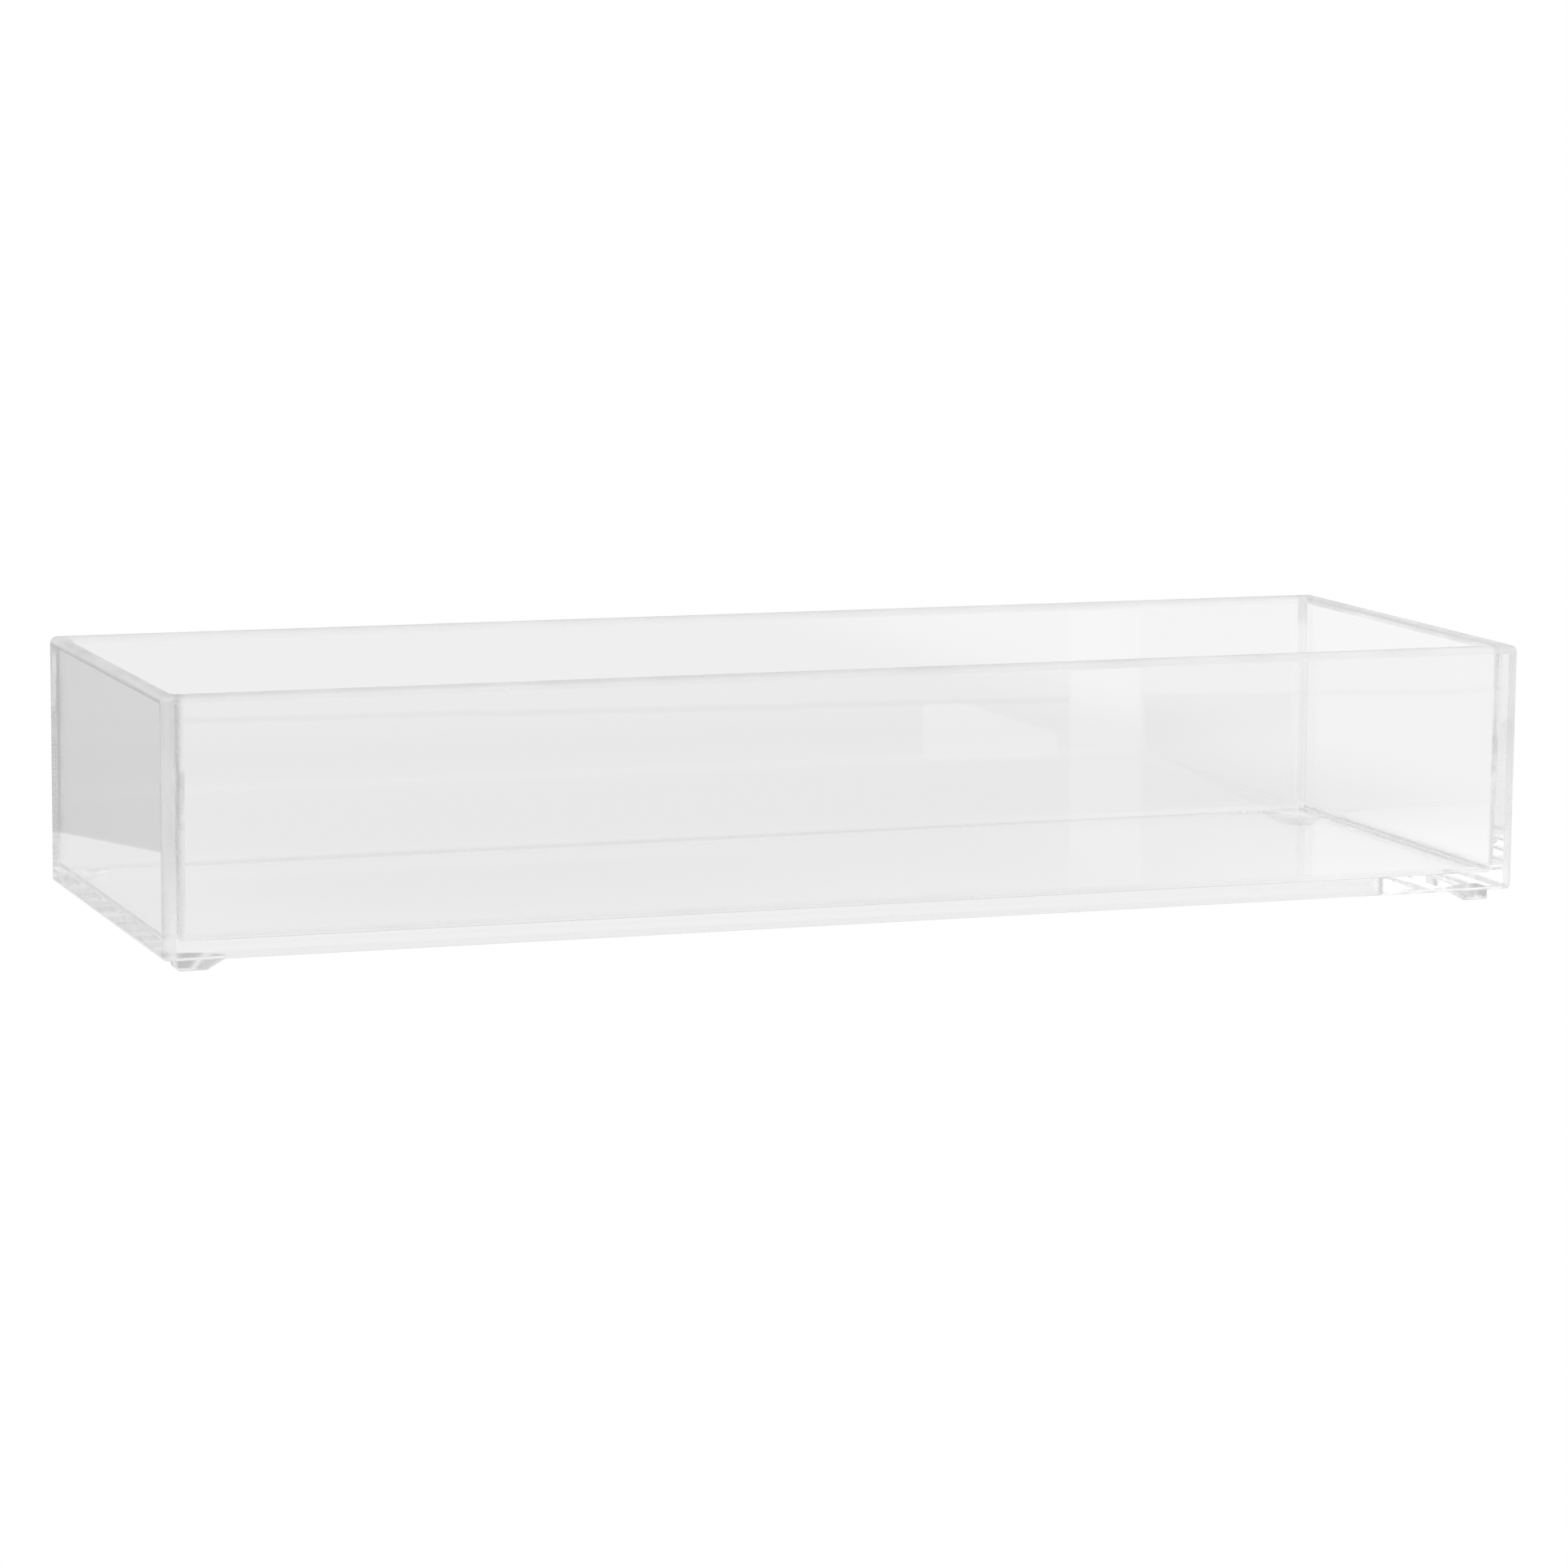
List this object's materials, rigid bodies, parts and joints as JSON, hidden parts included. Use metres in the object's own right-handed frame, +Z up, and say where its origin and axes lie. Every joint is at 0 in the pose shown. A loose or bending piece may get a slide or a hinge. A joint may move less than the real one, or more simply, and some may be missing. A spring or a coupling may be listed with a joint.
{
  "type": "clear stacking tray",
  "caption": "Long open-topped clear tray with rounded rim and small corner feet, for jewellery, vanity or drawer storage; stacks on another of its kind.",
  "frame": {"origin": "on the surface that the tray stands on, under the middle of the tray", "axes": "+X along the tray, +Y towards the back wall, +Z up out of the open mouth"},
  "size_m": [0.305, 0.105, 0.057],
  "materials": {
    "clear_acrylic": "polished",
    "acrylic_cement": "polished",
    "clear_feet": "polished"
  },
  "bodies": {
    "root": {"floor_panel": "clear_acrylic", "front_wall": "clear_acrylic", "back_wall": "clear_acrylic", "left_wall": "clear_acrylic", "right_wall": "clear_acrylic", "cement_fillet": "acrylic_cement", "front_left_foot": "clear_feet", "front_right_foot": "clear_feet", "back_left_foot": "clear_feet", "back_right_foot": "clear_feet"}
  },
  "joints": []
}
